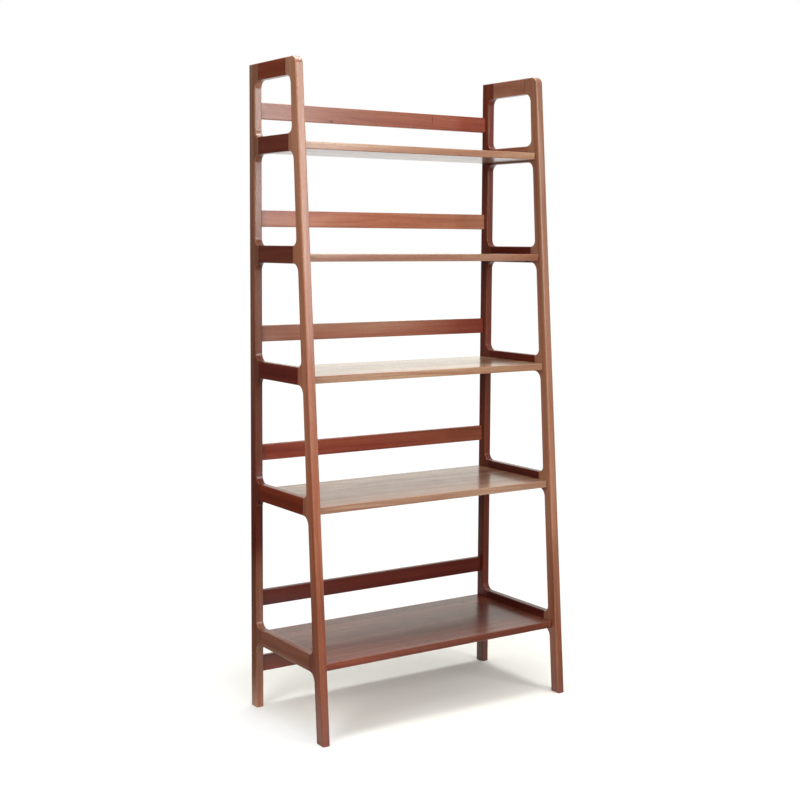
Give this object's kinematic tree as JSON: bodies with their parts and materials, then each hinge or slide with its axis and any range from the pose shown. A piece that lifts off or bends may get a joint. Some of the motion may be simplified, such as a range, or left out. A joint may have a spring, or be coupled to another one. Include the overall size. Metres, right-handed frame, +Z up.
{
  "type": "ladder shelf",
  "caption": "Free-standing ladder shelf with open leaning side frames, walnut shelves that get shallower towards the top, and a back rail behind each one.",
  "frame": {"origin": "centre of the footprint of the whole shelf, on the floor", "axes": "+X to the right seen from the front, +Y to the upright back, +Z up"},
  "size_m": [0.838, 0.407, 1.828],
  "materials": {
    "walnut_frame": "satin lacquered walnut, red-brown, straight grain along the stile, softly rounded arrises",
    "walnut_rung": "satin lacquered walnut, darker red-brown, grain along the rung",
    "walnut_shelf": "satin lacquered walnut staves glued edge to edge, streaky grain along the shelf",
    "walnut_rail": "satin lacquered walnut, grain along the rail",
    "beech_dowel": "bare fluted beech",
    "zinc_cam": "dull die-cast zinc",
    "plated_bolt": "bright zinc-plated steel"
  },
  "bodies": {
    "root": {"left_front_stile": "walnut_frame", "left_rear_stile": "walnut_frame", "left_top_rail": "walnut_frame", "left_rung_1": "walnut_rung", "left_rung_2": "walnut_rung", "left_rung_3": "walnut_rung", "left_rung_4": "walnut_rung", "left_rung_5": "walnut_rung", "right_front_stile": "walnut_frame", "right_rear_stile": "walnut_frame", "right_top_rail": "walnut_frame", "right_rung_1": "walnut_rung", "right_rung_2": "walnut_rung", "right_rung_3": "walnut_rung", "right_rung_4": "walnut_rung", "right_rung_5": "walnut_rung", "shelf_1": "walnut_shelf", "shelf_2": "walnut_shelf", "shelf_3": "walnut_shelf", "shelf_4": "walnut_shelf", "shelf_5": "walnut_shelf", "back_rail_1": "walnut_rail", "back_rail_2": "walnut_rail", "back_rail_3": "walnut_rail", "back_rail_4": "walnut_rail", "back_rail_5": "walnut_rail", "back_rail_6": "walnut_rail", "left_frame_dowels": "beech_dowel", "right_frame_dowels": "beech_dowel", "shelf_dowels": "beech_dowel", "rail_dowels": "beech_dowel", "shelf_cams": "zinc_cam", "rail_cams": "zinc_cam", "shelf_cam_bolts": "plated_bolt", "rail_cam_bolts": "plated_bolt"}
  },
  "joints": []
}
